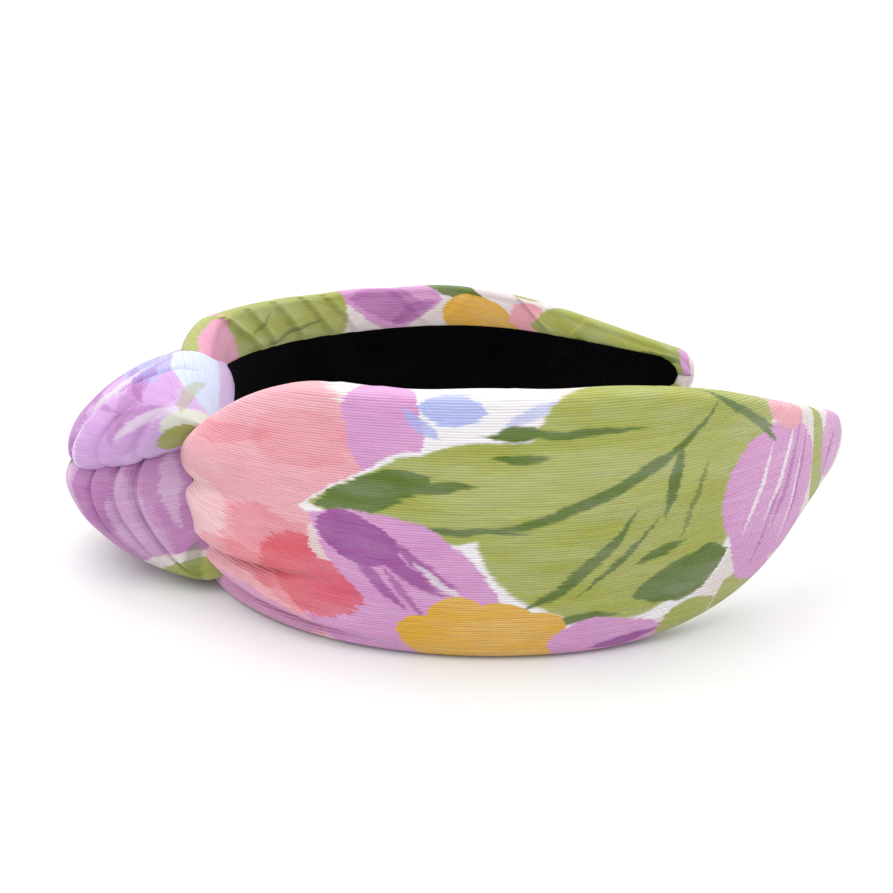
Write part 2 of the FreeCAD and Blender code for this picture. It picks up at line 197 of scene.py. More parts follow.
# ---------------------------------------------------------------- the arms' cloth

def pleat(s, up, start, end, height, depth, reach):
    """A fold whose upper layer stands proud along a line and falls back above it.

    The line runs from one (s, up) point to another, and the fold fades along it."""
    along = np.clip((s - start[0]) / (end[0] - start[0]), -1, 1.5)
    line = start[1] + (end[1] - start[1]) * along
    above = up - line
    fade = (1 - smooth(along, 0.25, 1.0)) * smooth(along, -0.6, -0.1)
    proud = np.where(above > 0, np.exp(-above / reach), 0) * smooth(above, -0.5, 0.6)
    crease = np.exp(-np.abs(above + 0.3) / 0.8)
    return fade * (height * proud - depth * crease)


def arm_relief(s, up, left):
    """How far the arm's outer face stands off its plain shape: puffs, folds and ripples."""
    top, bottom = drawn_in(s), tucked(s)
    middle, half = (top - bottom) / 2, (top + bottom) / 2
    across = np.clip((up - middle) / np.maximum(half, 1), -1, 1)
    dome = np.sqrt(np.clip(1 - across ** 2, 0, 1))
    low = 1.25 if left else 0.1 + 0.9 * smooth(up + 0.35 * (s - 20), -9.5, 1)
    puff = 4.6 * np.exp(-((s - 17) / 22) ** 2) * smooth(s, -4, 12) * dome * low
    groove_line = -1.6 + 4.0 * smooth(s, 15, 62)
    groove_depth = 4.6 * np.exp(-((s - 12) / 23) ** 2)
    groove_away = up - groove_line
    groove = -groove_depth * np.exp(-np.abs(groove_away) / np.where(
        groove_away < 0, 0.8 + 0.03 * (s - 3), 1.0 + 0.07 * (s - 3)))
    upper_roll = 1.6 * np.exp(-((s - 34) / 20) ** 2) * np.exp(-((up - 9) / 6.5) ** 2)
    folds = (pleat(s, up, (26, -12.6), (66, -10.6), 3.0, 3.6, 6.0)
             + pleat(s, up, (30, -17.8), (84, -23.4), 3.0, 4.0, 4.0))
    seed = 3.0 if left else 1.0
    soft = 0.16 * ripple(s, up, seed, 46) + 0.07 * ripple(up, s, seed + 5, 19)
    return puff + (groove + upper_roll + folds) * smooth(dome, 0.1, 0.6) + soft * dome


# The hem's folds: place along the arm, lean, height and reach. Each crosses its place at
# HEM_FOLD_UP above the middle.
HEM_FOLDS = ((31, 1.6, 1.3, 3.0), (43, 0.9, 0.9, 4.0), (55, 0.8, 1.0, 4.5), (66, 0.8, 1.0, 4.0),
             (74, 0.9, 0.8, 4.5), (97, 1.0, 0.4, 6.0), (117, -1.0, 0.35, 6.0),
             (134, 1.0, 0.7, 3.5), (146, -0.8, 0.4, 5.0), (163, -1.0, 0.5, 4.0),
             (176, 0.8, 0.7, 3.5))
HEM_FOLD_UP = 21


def hem_relief(s, up, left):
    """Slanted folds in the hem, where the turned-in cloth is longer than the hoop's face."""
    total = 0
    edge = -1 if left else 1
    strong = 1.7 if left else 1.0
    for place, lean, height, reach in HEM_FOLDS:
        away = (s - place) + lean * (edge * up - HEM_FOLD_UP)
        total = total + height * np.where(away > 0, np.exp(-away / reach), 0) * smooth(
            away, -0.7, 0.4)
    return strong * total


def arm_cloth(name, left):
    """One arm's cloth: from hem to hem round the outside, and closed at the tip."""
    crowded = np.sin(np.linspace(0, 1, CLOTH_ROWS) * TIP_CROWDING)
    s = CLOTH_START + (CLOTH_END - CLOTH_START) * crowded / math.sin(TIP_CROWDING)
    s = s[:, None]
    top, bottom = drawn_in(s), tucked(s)
    wave = 0.22 * (1 + ripple(s, 0 * s, 2.0 + left, 31)) * (1 - smooth(s, 150, 175))
    top, bottom = (top, bottom + wave) if left else (top + wave, bottom)
    past = np.clip(s - (ARM_LENGTH - TIP_SHUT), 0, TIP_SHUT) / TIP_SHUT
    shut = np.sqrt(np.clip(1 - past ** 2, 0, 1))
    thin = 1 - 0.1 * smooth(s, 120, 182)
    mean = (HEM_FACE + CLOTH_FACE) / 2
    reach = (CLOTH_FACE - HEM_FACE) / 2 * thin * shut
    open_up = opening(s, True)
    open_down = opening(s, False)

    hem = np.linspace(0, 1, HEM_POINTS)[None, :]
    turn = np.linspace(0, 1, EDGE_POINTS + 2)[None, 1:-1] * math.pi
    face = np.linspace(1, -1, FACE_POINTS)[None, :]
    top_corner = np.maximum(top - reach, 0.01)
    bottom_corner = np.maximum(bottom - reach, 0.01)

    inner = mean - reach
    hem_puff = HEM_PUFF * np.sin(hem * math.pi) ** 0.8 * smooth(s, 0, 30)
    squared = reach * np.sin(turn) ** EDGE_SQUARE
    out = np.concatenate([inner - hem_puff * thin * shut,
                          mean - reach * np.cos(turn),
                          mean + reach + 0 * face,
                          mean + reach * np.cos(turn),
                          inner - hem_puff[:, ::-1] * thin * shut], axis=1)
    up = np.concatenate([open_up + (top_corner - open_up) * hem,
                         top_corner + squared,
                         np.where(face > 0, top_corner, bottom_corner) * face,
                         -bottom_corner - squared,
                         -bottom_corner + (bottom_corner - open_down) * hem], axis=1)
    grid_s = np.repeat(s, out.shape[1], axis=1)

    step = np.linalg.norm(np.diff(np.stack([out, up], -1), axis=1), axis=-1)
    round_it = np.concatenate([np.zeros((CLOTH_ROWS, 1)), np.cumsum(step, axis=1)], axis=1)
    centre = round_it[:, HEM_POINTS + EDGE_POINTS + FACE_POINTS // 2][:, None]
    uv = np.stack([grid_s, centre - round_it], axis=-1)

    outer = smooth(out, 0.2, 3.2)
    dome = np.sqrt(np.clip(1 - (up / np.maximum(bottom, 1)) ** 2, 0, 1))
    crown = (0.5 + 1.4 * smooth(grid_s, 14, 60)) * (1 - 0.4 * smooth(grid_s, 130, 185))
    crown = crown * dome * shut
    relief = arm_relief(grid_s, up, left) * (1 - smooth(grid_s, 150, 185))
    inner_side = 1 - smooth(out, 0.8, 3.6)
    hem_zone = hem_relief(grid_s, up, left) * (up > 0 if not left else up < 0)
    hem_bulge = smooth(np.abs(up) - np.where(up > 0, open_up, open_down), 0, 3.5)
    out = out + outer * (crown + relief) * shut - inner_side * hem_zone * hem_bulge * shut
    points = placed(grid_s, out, up, left)
    return subdivided(smooth_mesh(name, points, uv, flip=left))


right_cloth = arm_cloth("right_cloth", False)
left_cloth = arm_cloth("left_cloth", True)


# ---------------------------------------------------------------- the velvet lining

def velvet(name, left):
    """Half of the lining: closed velvet, lapping over the hems and sunk between them."""
    s = np.linspace(VELVET_START, VELVET_END, VELVET_ROWS)[:, None]
    rounding = VELVET_END - VELVET_ROUND
    past = np.clip(s - rounding, 0, VELVET_ROUND) / VELVET_ROUND
    limit = VELVET_END_HALF * np.sqrt(np.clip(1 - past ** 2, 0.0004, 1)) + 0.02
    halves = []
    for pulled in (True, False):
        half = opening(np.minimum(s, OPENING_END - 0.4), pulled) + VELVET_LAP
        halves.append(np.where(s > rounding, np.minimum(half, limit), half))
    top, bottom = halves
    face = np.linspace(-1, 1, VELVET_POINTS)[None, :]
    up = np.where(face > 0, top, bottom) * face
    sunk = 0.35 * (1 - face ** 2)
    pile = VELVET_FACE - 0.25 + sunk + 0.05 * ripple(s + 0 * face, up, 8.0, 24)
    back = HEM_FACE + 0.35 + 0 * up
    out = np.concatenate([pile, back[:, ::-1]], axis=1)
    up = np.concatenate([up, up[:, ::-1]], axis=1)
    grid_s = np.repeat(s, out.shape[1], axis=1)
    points = placed(grid_s, out, up, left)
    uv = np.stack([grid_s, up], axis=-1)
    return subdivided(smooth_mesh(name, points, uv, loop_round=True, flip=left))


right_velvet = velvet("right_velvet", False)
left_velvet = velvet("left_velvet", True)


# ---------------------------------------------------------------- the knot

def through(points, count):
    """A smooth curve through points, evenly spaced along its length."""
    points = np.asarray(points, float)
    ends = np.concatenate([[2 * points[0] - points[1]], points, [2 * points[-1] - points[-2]]])
    fine = []
    for a, b, c, d in zip(ends, ends[1:], ends[2:], ends[3:]):
        t = np.linspace(0, 1, 40, endpoint=False)[:, None]
        fine.append(0.5 * (2 * b + (c - a) * t + (2 * a - 5 * b + 4 * c - d) * t ** 2
                           + (3 * b - a - 3 * c + d) * t ** 3))
    fine = np.concatenate(fine + [points[-1:]])
    length = np.concatenate([[0], np.cumsum(np.linalg.norm(np.diff(fine, axis=0), axis=1))])
    at = np.linspace(0, length[-1], count)
    return np.stack([np.interp(at, length, column) for column in fine.T], axis=-1), length[-1]


def gathered(t, along, creases):
    """How far gathered cloth stands off: sharp creases, each with one side lapping proud."""
    total = 0
    for start, end, depth, width, lap, first, last in creases:
        away = t - (start + (end - start) * along)
        fade = smooth(along, first - 0.06, first + 0.02) * (1 - smooth(along, last - 0.2, last))
        ridge = np.exp(-np.abs(away) / (3.2 * width)) * (1 - np.exp(-np.abs(away) / width))
        proud = np.where(away * lap > 0, 1.5, 0.7) * ridge
        total = total + fade * depth * (0.8 * proud - np.exp(-np.abs(away) / width))
    return total


def wrap(name, middle, ends, side, creases, sag):
    """A wrap of the knot: a gathered strip round one edge of the band.

    Its outline is known at the middle and at its near and far ends. `along` runs down the
    strip and t across it, from the near side to the far side."""
    line, length = through(middle, WRAP_ALONG)
    near, far = (through(end, WRAP_ALONG)[0] for end in ends)
    along = np.linspace(0, 1, WRAP_ALONG)[:, None]
    t = np.linspace(-1, 1, WRAP_ACROSS)[None, :]
    across = np.sin(t * math.pi / 2)
    end = np.where((across < 0)[..., None], near[:, None, :], far[:, None, :])
    share = (1 - np.abs(across) ** 2.7) ** 0.45
    x = line[:, :1] * share + end[..., 0] * (1 - share)
    z = line[:, 1:] * share + side * end[..., 2] * (1 - share)
    z = z * (1 - sag * smooth(across, -0.35, 0.65))
    y = across * end[..., 1]
    points = np.stack([x, y, z], axis=-1)
    normal = np.cross(np.gradient(points, axis=0), np.gradient(points, axis=1))
    normal /= np.linalg.norm(normal, axis=-1, keepdims=True) + 1e-9
    inside = np.array([-62, 0, 11 * side])
    if ((points - inside) * normal).sum() < 0:
        normal = -normal
    visible = 1 - smooth(x, -57, -51.5)
    relief = gathered(t, along, creases) + 0.14 * ripple(along * length, y, 4.0, 17)
    relief = relief * visible * smooth(share, 0.1, 0.45)
    points = points + normal * relief[..., None]
    points[..., 2] += MID
    uv = np.stack([t * WRAP_SPREAD + 0 * x, along * length + 0 * y], axis=-1)
    return subdivided(smooth_mesh(name, points * MM, uv))


# Outlines of the wraps in millimetres: (x, height above the middle), and for the ends
# (x, distance from the long middle line, height away from the middle).
OVER_MIDDLE = ((-76, 2.6), (-80, 0.8), (-83.2, -0.6), (-85.2, 1.0), (-84.9, 4.8), (-82.6, 8.8),
               (-79, 12.6), (-74.5, 16.2), (-69.5, 19.2), (-64, 21.2), (-59.0, 22.0),
               (-55, 20.6), (-51.8, 17.4), (-50.2, 12.5), (-49.9, 7), (-50.1, 1), (-51.5, -0.5))
UNDER_MIDDLE = ((-76, 3.4), (-80, 2.6), (-84.2, -0.2), (-86.4, -4), (-86.2, -7.6),
                (-84.6, -11.4), (-82.2, -14.4), (-79.4, -17.6), (-75.5, -20.6),
                (-70.5, -22.6), (-65, -23.8), (-59.5, -23.8), (-54.5, -22.2),
                (-51.4, -18.6), (-50.2, -13), (-50.1, -5), (-51.5, -0.5))
WIDE_END = ((-58, 22, -7.5), (-58.5, 25, -1.0), (-57.5, 28, 7), (-55, 30.5, 14),
            (-53, 32.2, 18.2), (-51.4, 32.6, 20), (-50.2, 31.2, 18.5), (-49.45, 28.2, 13),
            (-49.8, 25, 4), (-51.5, 22, 0.5))
LAPPED_END = ((-60, 22.6, 4.4), (-59.2, 25, 6), (-57.5, 27.5, 8.4), (-55.5, 29.5, 10.4),
              (-53.6, 30.5, 11), (-52.2, 30, 10), (-51.4, 28, 8), (-51, 25, 5),
              (-50.8, 23, 2), (-51.5, 21.6, 0.5))

# Creases: t at the start and at the end, depth, width, lapping side, and how far along each
# one begins and ends.
OVER_CREASES = ((-0.34, -0.42, 1.7, 0.030, -1, 0.05, 0.75), (-0.62, -0.5, 0.5, 0.03, 1, 0.05, 0.5),
                (-0.84, -0.62, 0.7, 0.03, 1, 0.04, 0.5), (-0.93, -0.80, 0.6, 0.02, 1, 0.04, 0.4),
                (0.05, 0.0, 0.5, 0.03, 1, 0.1, 0.7), (0.4, 0.3, 0.7, 0.03, 1, 0.1, 0.7),
                (0.7, 0.6, 0.7, 0.03, 1, 0.05, 0.6))
UNDER_CREASES = ((-0.79, -0.76, 1.8, 0.018, -1, 0.0, 0.66), (-0.68, -0.68, 1.3, 0.018, -1, 0.0, 0.5),
                 (-0.52, -0.62, 1.2, 0.018, -1, 0.0, 0.48), (-0.32, -0.50, 1.1, 0.018, -1, 0.0, 0.42),
                 (-0.06, -0.2, 1.2, 0.03, -1, 0.0, 0.5), (0.2, 0.15, 1.2, 0.03, 1, 0.0, 0.6),
                 (0.45, 0.45, 1.3, 0.03, 1, 0.0, 0.6), (0.7, 0.7, 1.2, 0.03, 1, 0.0, 0.6))

knot_over = wrap("knot_over", OVER_MIDDLE, (LAPPED_END, WIDE_END), 1, OVER_CREASES, 0.18)
knot_under = wrap("knot_under", UNDER_MIDDLE, (WIDE_END, LAPPED_END), -1, UNDER_CREASES, 0)


# ---------------------------------------------------------------- materials

def srgb(red, green, blue):
    """A colour given as 0 to 255 in sRGB, as the shader's linear numbers."""
    linear = []
    for value in (red, green, blue):
        value /= 255
        linear.append(value / 12.92 if value <= 0.04045 else ((value + 0.055) / 1.055) ** 2.4)
    return (*linear, 1)


CREAM = srgb(226, 214, 212)
PINK = srgb(232, 160, 172)
CORAL = srgb(214, 74, 90)
LILAC = srgb(210, 148, 199)
PURPLE = srgb(154, 72, 150)
PALE_LILAC = srgb(222, 196, 224)
OLIVE = srgb(160, 166, 74)
LEAF = srgb(88, 112, 30)
PALE_OLIVE = srgb(186, 190, 122)
YELLOW = srgb(220, 168, 46)
BLUE = srgb(160, 172, 232)
WHITE = srgb(238, 234, 238)
PALE_BLUE = srgb(206, 214, 240)
PALE_GREEN = srgb(222, 228, 206)
# Lilac darkened as painted shade, for a print mark on an edge that lies in shade.
SHADED_LILAC = srgb(196, 136, 186)
PALE_PINK = srgb(236, 196, 200)
# Pink darkened as painted shade, for a print mark on the hem that lies in shade.
SHADED_PINK = srgb(222, 150, 178)


class Shader:
    """A small helper that adds nodes to one material and wires them."""

    def __init__(self, name):
        self.material = bpy.data.materials.new(name)
        self.material.use_nodes = True
        self.tree = self.material.node_tree
        self.tree.nodes.clear()
        self.surface = self.add("ShaderNodeBsdfPrincipled")
        output = self.add("ShaderNodeOutputMaterial")
        self.tree.links.new(self.surface.outputs[0], output.inputs[0])

    def add(self, kind, **settings):
        node = self.tree.nodes.new(kind)
        for key, value in settings.items():
            setattr(node, key, value)
        return node

    def wire(self, value, socket):
        if isinstance(value, bpy.types.NodeSocket):
            self.tree.links.new(value, socket)
        else:
            socket.default_value = value

    def math(self, operation, *values):
        node = self.add("ShaderNodeMath", operation=operation)
        for value, socket in zip(values, node.inputs):
            self.wire(value, socket)
        return node.outputs[0]

    def vector(self, operation, *values):
        node = self.add("ShaderNodeVectorMath", operation=operation)
        for value, socket in zip(values, node.inputs):
            self.wire(value, socket)
        return node.outputs[0]

    def noise(self, vector, scale, detail=2.0, roughness=0.5):
        node = self.add("ShaderNodeTexNoise")
        self.wire(vector, node.inputs["Vector"])
        node.inputs["Scale"].default_value = scale
        node.inputs["Detail"].default_value = detail
        node.inputs["Roughness"].default_value = roughness
        return node.outputs

    def step(self, value, low, high, to_low=0.0, to_high=1.0):
        node = self.add("ShaderNodeMapRange", interpolation_type="SMOOTHSTEP")
        for given, key in ((value, "Value"), (low, "From Min"), (high, "From Max"),
                           (to_low, "To Min"), (to_high, "To Max")):
            self.wire(given, node.inputs[key])
        return node.outputs[0]

    def mix(self, factor, low, high):
        node = self.add("ShaderNodeMix", data_type="RGBA")
        for value, socket in ((factor, node.inputs[0]), (low, node.inputs[6]),
                              (high, node.inputs[7])):
            self.wire(value, socket)
        return node.outputs[2]

    def spread(self, vector, x, y):
        """Stretch a vector's first two parts."""
        node = self.add("ShaderNodeMapping", vector_type="POINT")
        self.wire(vector, node.inputs["Vector"])
        node.inputs["Scale"].default_value = (x, y, 1)
        return node.outputs[0]


STREAK_ANGLES = (0, 40, 90, -40)


def painted_shape(shader, x, y, streaks, shape):
    """The mask of one painted mark: a blot or a leaf, in the cloth's plane."""
    kind, mark_x, mark_y, length, width, angle, bend, _, dry = shape
    cosine, sine = math.cos(math.radians(angle)), math.sin(math.radians(angle))

    def scaled(across_x, across_y, size):
        shift = -(mark_x * across_x + mark_y * across_y) * 2 / size
        part = shader.math("MULTIPLY_ADD", y, across_y * 2 / size, shift)
        return shader.math("MULTIPLY_ADD", x, across_x * 2 / size, part)

    along, across = scaled(cosine, sine, length), scaled(-sine, cosine, width)
    square = shader.math("MULTIPLY", along, along)
    if bend:
        across = shader.math("MULTIPLY_ADD", square, bend, across)
    edge = shader.math("SUBTRACT", 1.0, square)
    if kind == "blot":
        edge = shader.math("SUBTRACT", edge, shader.math("MULTIPLY", across, across))
    else:
        edge = shader.math("SUBTRACT", edge, shader.math("ABSOLUTE", across))
    soft = 0.05 if kind == "blot" else min(0.4, 0.7 / width)
    if dry:
        nearest = min(STREAK_ANGLES, key=lambda turn: abs((angle - turn + 90) % 180 - 90))
        edge = shader.math("MULTIPLY_ADD", streaks[nearest], dry, edge)
    return shader.step(edge, -soft, soft)


def painted(shader, cloth, ground, shapes):
    """Paint the shapes over the ground colour, one after another."""
    wander = shader.noise(shader.spread(cloth, 1, 1), 0.11, 3.0, 0.55)[1]
    ragged = shader.noise(shader.spread(cloth, 0.25, 2.6), 1.0, 2.0, 0.6)[0]
    moved = shader.vector("MULTIPLY_ADD", wander, (3.0, 3.0, 0), cloth)
    slide = shader.add("ShaderNodeCombineXYZ")
    shader.wire(shader.math("MULTIPLY_ADD", ragged, 2.4, -2.7), slide.inputs[0])
    slide.inputs[1].default_value = -1.5
    moved = shader.vector("ADD", moved, slide.outputs[0])
    streaks = {}
    for angle in STREAK_ANGLES:
        turned = shader.add("ShaderNodeMapping", vector_type="TEXTURE")
        shader.wire(moved, turned.inputs["Vector"])
        turned.inputs["Rotation"].default_value = (0, 0, math.radians(angle))
        turned.inputs["Scale"].default_value = (9.0, 0.75, 1)
        streaks[angle] = shader.math(
            "SUBTRACT", shader.noise(turned.outputs[0], 1.0, 3.0, 0.6)[0], 0.5)
    parts = shader.add("ShaderNodeSeparateXYZ")
    shader.wire(moved, parts.inputs[0])
    colour = ground
    for shape in shapes:
        mask = painted_shape(shader, *parts.outputs[:2], streaks, shape)
        pigment, strength = shape[7] if isinstance(shape[7][0], tuple) else (shape[7], 1.0)
        if strength < 1:
            mask = shader.math("MULTIPLY", mask, strength)
        colour = shader.mix(mask, colour, pigment)
    return colour


def cloth_material(name, ground, shapes):
    """Slubbed plain-weave cloth with a painterly floral print; on the arms a few print marks are
    darkened as painted shade.
    """
    shader = Shader(name)
    uv = shader.add("ShaderNodeUVMap", uv_map="Cloth").outputs[0]
    colour = painted(shader, uv, ground, shapes)

    wash = shader.noise(shader.spread(uv, 0.06, 0.22), 1.0, 3.0, 0.6)[0]
    colour = shader.mix(shader.step(wash, 0.3, 0.75, 0.0, 0.12), colour, WHITE)
    slub = shader.noise(shader.spread(uv, 0.055, 1.0), 2.1, 2.0, 0.7)[0]
    parts = shader.add("ShaderNodeSeparateXYZ")
    shader.wire(uv, parts.inputs[0])
    jitter = shader.math("MULTIPLY", slub, 3.0)
    weft = shader.math("SINE", shader.math("MULTIPLY_ADD", parts.outputs[1], 13.5, jitter))
    warp = shader.math("SINE", shader.math("MULTIPLY", parts.outputs[0], 15.5))
    weave = shader.math("MULTIPLY_ADD", warp, 0.28, weft)
    weave = shader.math("MULTIPLY_ADD", slub, 3.4, weave)
    shade = shader.step(weave, -0.4, 3.4, 0.65, 0.93)
    toned = shader.vector("SCALE", colour)
    shader.wire(shade, toned.node.inputs["Scale"])

    bump = shader.add("ShaderNodeBump")
    bump.inputs["Strength"].default_value = 0.55
    bump.inputs["Distance"].default_value = 0.00012
    shader.wire(weave, bump.inputs["Height"])
    shader.wire(toned, shader.surface.inputs["Base Color"])
    shader.wire(shader.step(weave, -1.0, 3.0, 0.72, 0.92), shader.surface.inputs["Roughness"])
    shader.wire(bump.outputs[0], shader.surface.inputs["Normal"])
    shader.surface.inputs["Specular IOR Level"].default_value = 0.25
    shader.surface.inputs["Sheen Weight"].default_value = 0.18
    shader.surface.inputs["Sheen Roughness"].default_value = 0.5
    return shader.material


def velvet_material():
    """Short black pile, with a nap that varies a little."""
    shader = Shader("black velvet")
    place = shader.add("ShaderNodeTexCoord").outputs["Object"]
    pile = shader.noise(place, 900.0, 3.0, 0.7)[0]
    nap = shader.noise(place, 60.0, 3.0, 0.6)[0]
    mixed = shader.math("MULTIPLY", pile, nap)
    shader.wire(shader.mix(shader.step(mixed, 0.1, 0.45), srgb(1, 1, 2), srgb(8, 8, 9)),
                shader.surface.inputs["Base Color"])
    bump = shader.add("ShaderNodeBump")
    bump.inputs["Strength"].default_value = 0.6
    bump.inputs["Distance"].default_value = 0.0003
    shader.wire(pile, bump.inputs["Height"])
    shader.wire(bump.outputs[0], shader.surface.inputs["Normal"])
    shader.wire(shader.step(nap, 0.3, 0.7, 0.86, 0.98), shader.surface.inputs["Roughness"])
    shader.surface.inputs["Specular IOR Level"].default_value = 0.02
    shader.surface.inputs["Sheen Weight"].default_value = 0.01
    return shader.material


def plain_material(name, low, high, grain, rough, bump_depth):
    """Plastic, foam or thread: two close tones in a fine grain."""
    shader = Shader(name)
    place = shader.add("ShaderNodeTexCoord").outputs["Object"]
    cells = shader.noise(place, grain, 3.0, 0.6)[0]
    shader.wire(shader.mix(shader.step(cells, 0.3, 0.7), low, high),
                shader.surface.inputs["Base Color"])
    bump = shader.add("ShaderNodeBump")
    bump.inputs["Distance"].default_value = bump_depth
    shader.wire(cells, bump.inputs["Height"])
    shader.wire(bump.outputs[0], shader.surface.inputs["Normal"])
    shader.wire(shader.step(cells, 0.2, 0.8, rough - 0.06, rough + 0.06),
                shader.surface.inputs["Roughness"])
    return shader.material


# Marks: kind, place along and across in mm, length, width, angle, bend, colour, dryness. A colour
# may come with a strength. On the wraps a mark's place is across the strip, then along it.
# Open: the layout follows an existing print and has to be replaced.
ARM_PRINT = (
    ("blot", 37, 2, 76, 64, 0, 0, (PINK, 0.95), 0.3),
    ("blot", 24, -5, 36, 18, 0, 0, (PALE_PINK, 0.7), 1.2),
    ("blot", 84, -15, 54, 34, -6, 0, LILAC, 0.2),
    # The lilac band along the lower edge is print, drawn in SHADED_LILAC: painted shade.
    ("blot", 32, -21, 56, 10, 0, 0, (SHADED_LILAC, 0.75), 0.8),
    ("blot", 53, -8, 28, 17, -20, 0, (CORAL, 0.4), 1.6),
    ("blot", 59, -10, 20, 14, -28, 0, (CORAL, 0.85), 1.1),
    ("blot", 44, -11, 26, 7, -10, 0, (CORAL, 0.4), 1.6),
    ("blot", 58, 16, 20, 11, 6, 0, (CORAL, 0.22), 1.6),
    ("blot", 40, 14, 26, 4, 8, 0, (CORAL, 0.3), 1.8),
    ("blot", 63, -2, 8, 10, 0, 0, (CREAM, 0.8), 1.2),
    ("blot", 88, 21, 28, 17, 0, 0, WHITE, 0.2),
    ("blot", 73, 19, 13, 21, 8, 0, LILAC, 0.3),
    ("leaf", 84, 22.5, 11, 6, -6, 0, (BLUE, 0.85), 0.8),
    ("leaf", 79, 20, 8, 2, -40, 0, (BLUE, 0.8), 0.8),
    ("leaf", 96, 21.5, 10, 2, 30, 0, (BLUE, 0.6), 0.9),
    ("blot", 111, 1, 51, 41, 0, 0, WHITE, 0),
    ("leaf", 87, 7, 60, 20, 6, 0.1, WHITE, 0.1),
    ("blot", 111, 2, 47, 38, 0, 0, OLIVE, 0),
    ("blot", 121, 18, 48, 24, 0, 0, OLIVE, 0),
    ("leaf", 88, 8, 58, 17, 6, 0.1, OLIVE, 0.1),
    ("blot", 108, 10, 60, 12, 4, 0, (PALE_OLIVE, 0.3), 1.4),
    ("leaf", 84, 1.2, 24, 1.3, 0, 0.5, LEAF, 0.3),
    ("leaf", 110, 7.6, 48, 2.3, 25, -3.2, LEAF, 0.35),
    ("leaf", 120.4, 8, 14, 2.4, 75, 0.3, LEAF, 0.7),
    ("leaf", 125, 4, 14, 1.2, 70, 0, (LEAF, 0.7), 1.4),
    ("leaf", 105.5, -6.4, 27, 2.2, 43, -1.4, LEAF, 0.3),
    ("leaf", 111.5, -5, 20, 1.1, 45, -0.8, LEAF, 1.2),
    ("leaf", 124, -11, 20, 9, 16, -0.25, LEAF, 0.3),
    ("blot", 128, -9, 8, 7, 30, 0, LEAF, 0.3),
    ("leaf", 119, -4.6, 10, 2, 18, 0, LEAF, 1.0),
    ("leaf", 102, 18.2, 26, 1.5, 1, 0.2, LEAF, 1.2),
    ("leaf", 94, 18, 9, 3.0, 4, 0, LEAF, 1.2),
    ("leaf", 95, 14.2, 9, 1.6, 0, 0, LEAF, 1.2),
    ("leaf", 104, -16.2, 16, 1.8, 2, 0, LEAF, 0.8),
    ("leaf", 71, 7.6, 22, 7, 20, 0, LEAF, 0.9),
    ("leaf", 69, 5.4, 15, 3.2, 5, 0, LEAF, 0.9),
    ("leaf", 80, 9, 15, 2.2, 2, 0, LEAF, 1.5),
    ("leaf", 76, -6.5, 38, 18, -27, 0, LILAC, 0.2),
    ("blot", 68, -1.5, 15, 9, -20, 0, PURPLE, 0.7),
    ("leaf", 74, -5, 22, 3.4, -36, 0, PURPLE, 0.9),
    ("leaf", 71, -9, 15, 2.2, -48, -0.4, (PURPLE, 0.85), 0.9),
    ("leaf", 79, -5.5, 14, 1.7, -40, 0, (PURPLE, 0.85), 1.0),
    ("leaf", 76, -11, 13, 1.4, -52, 0, (PURPLE, 0.7), 1.0),
    ("leaf", 82, -9, 12, 1.1, -46, 0, (WHITE, 0.6), 1.0),
    ("blot", 89, -20.5, 28, 14, -3, 0, YELLOW, 0.1),
    ("blot", 79, -18.5, 9, 7, 0, 0, YELLOW, 0.1),
    ("blot", 84.5, -15, 9, 7, 0, 0, YELLOW, 0.1),
    ("blot", 92, -15.5, 10, 6, 0, 0, YELLOW, 0.1),
    ("blot", 98, -17.5, 9, 6, 0, 0, YELLOW, 0.1),
    ("blot", 111, -22, 22, 11, -6, 0, LILAC, 0.3),
    ("leaf", 113, -21.4, 13, 2.4, 8, 0, PURPLE, 0.8),
    ("leaf", 125, -20, 14, 8, 24, 0, OLIVE, 0.3),
    ("leaf", 137, -18.5, 17, 9, 28, 0, OLIVE, 0.3),
    ("blot", 149, 0, 36, 28, -12, 0, LILAC, 0.2),
    ("leaf", 141, -10, 20, 12, -50, 0, LILAC, 0.2),
    ("leaf", 152, 2, 24, 2.0, 62, -0.8, (PURPLE, 0.6), 0.9),
    ("leaf", 158, 0, 22, 1.8, 68, -0.8, (PURPLE, 0.6), 0.9),
    ("leaf", 146, -3, 24, 1.4, 66, -0.8, (PURPLE, 0.5), 0.9),
    ("leaf", 141, 2, 18, 1.3, 66, -0.6, (WHITE, 0.8), 0.9),
    ("leaf", 149, 4, 20, 1.5, 60, -0.6, (WHITE, 0.8), 0.9),
    ("leaf", 155, -3, 20, 1.1, 66, -0.6, (WHITE, 0.6), 0.9),
    ("blot", 151, 15.5, 16, 7, -18, 0, PINK, 0.4),
    ("leaf", 136, 18, 20, 1.8, -30, 0, LEAF, 0.8),
    ("leaf", 141, 14, 12, 1.4, -42, 0, LEAF, 0.8),
    ("leaf", 171, 0, 32, 8, -78, 0.4, OLIVE, 0.3),
    ("blot", 180, 2, 14, 16, 0, 0, (LILAC, 0.9), 0.3),
    ("leaf", 178, -1, 14, 1.8, 60, 0, (PURPLE, 0.6), 0.9),
)

